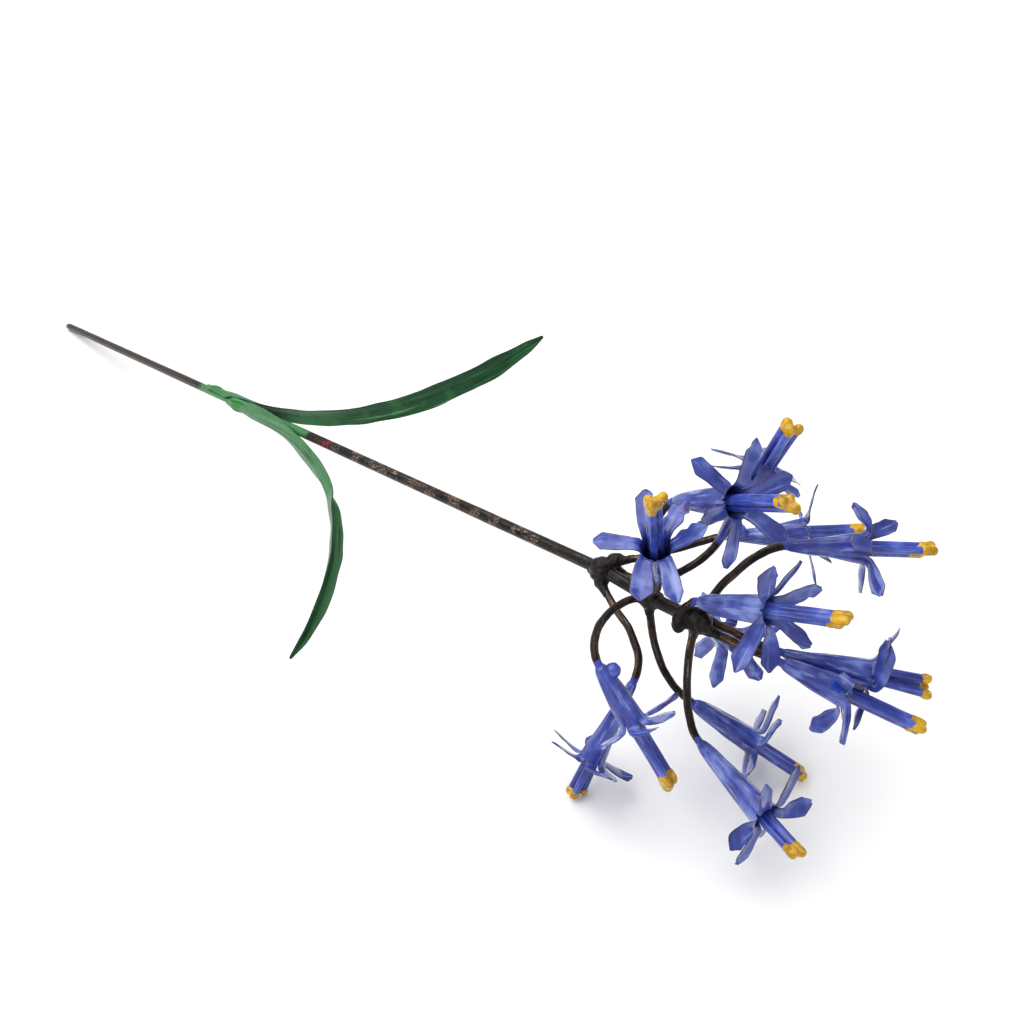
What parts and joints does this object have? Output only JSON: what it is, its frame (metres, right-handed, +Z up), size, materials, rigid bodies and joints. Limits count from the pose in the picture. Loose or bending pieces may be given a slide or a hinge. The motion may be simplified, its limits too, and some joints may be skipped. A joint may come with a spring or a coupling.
{
  "type": "metal agapanthus flower",
  "caption": "Handmade agapanthus of welded and painted steel: an umbel of blue florets with yellow stamen tips on a dark rod stem with curled green leaves, lying on its side.",
  "frame": {"origin": "centre of the bounding box's base, on the surface that the flower lies on", "axes": "+X along the stem from its cut end towards the flower head, +Y to the side of the upper leaf, +Z up from the surface"},
  "size_m": [0.8981, 0.2317, 0.1875],
  "materials": {
    "dark_steel": "dark brown-black patina on bare steel rod, with worn bronze streaks, semi-gloss",
    "blue_enamel": "glossy violet-blue enamel, brushed on, with bare dark edges",
    "yellow_enamel": "glossy ochre-yellow enamel over weld metal",
    "green_enamel": "glossy mid-green enamel, brushed on"
  },
  "bodies": {
    "root": {"stem": "dark_steel", "leaf_lower": "green_enamel", "leaf_upper": "green_enamel", "pedicel_a": "dark_steel", "corolla_a": "blue_enamel", "stamens_a": "blue_enamel", "tips_a": "yellow_enamel", "pedicel_b": "dark_steel", "corolla_b": "blue_enamel", "stamens_b": "blue_enamel", "tips_b": "yellow_enamel", "pedicel_c": "dark_steel", "corolla_c": "blue_enamel", "stamens_c": "blue_enamel", "tips_c": "yellow_enamel", "pedicel_d": "dark_steel", "corolla_d": "blue_enamel", "stamens_d": "blue_enamel", "tips_d": "yellow_enamel", "pedicel_e": "dark_steel", "corolla_e": "blue_enamel", "stamens_e": "blue_enamel", "tips_e": "yellow_enamel", "pedicel_f": "dark_steel", "corolla_f": "blue_enamel", "stamens_f": "blue_enamel", "tips_f": "yellow_enamel", "pedicel_g": "dark_steel", "corolla_g": "blue_enamel", "stamens_g": "blue_enamel", "tips_g": "yellow_enamel", "pedicel_h": "dark_steel", "corolla_h": "blue_enamel", "stamens_h": "blue_enamel", "tips_h": "yellow_enamel", "pedicel_i": "dark_steel", "corolla_i": "blue_enamel", "stamens_i": "blue_enamel", "tips_i": "yellow_enamel", "pedicel_j": "dark_steel", "corolla_j": "blue_enamel", "stamens_j": "blue_enamel", "tips_j": "yellow_enamel", "pedicel_k": "dark_steel", "corolla_k": "blue_enamel", "stamens_k": "blue_enamel", "tips_k": "yellow_enamel", "pedicel_l": "dark_steel", "corolla_l": "blue_enamel", "stamens_l": "blue_enamel", "tips_l": "yellow_enamel", "pedicel_m": "dark_steel", "corolla_m": "blue_enamel", "stamens_m": "blue_enamel", "tips_m": "yellow_enamel", "tip_apart_c": "yellow_enamel", "tip_apart_h": "yellow_enamel", "tip_apart_m": "yellow_enamel"}
  },
  "joints": []
}
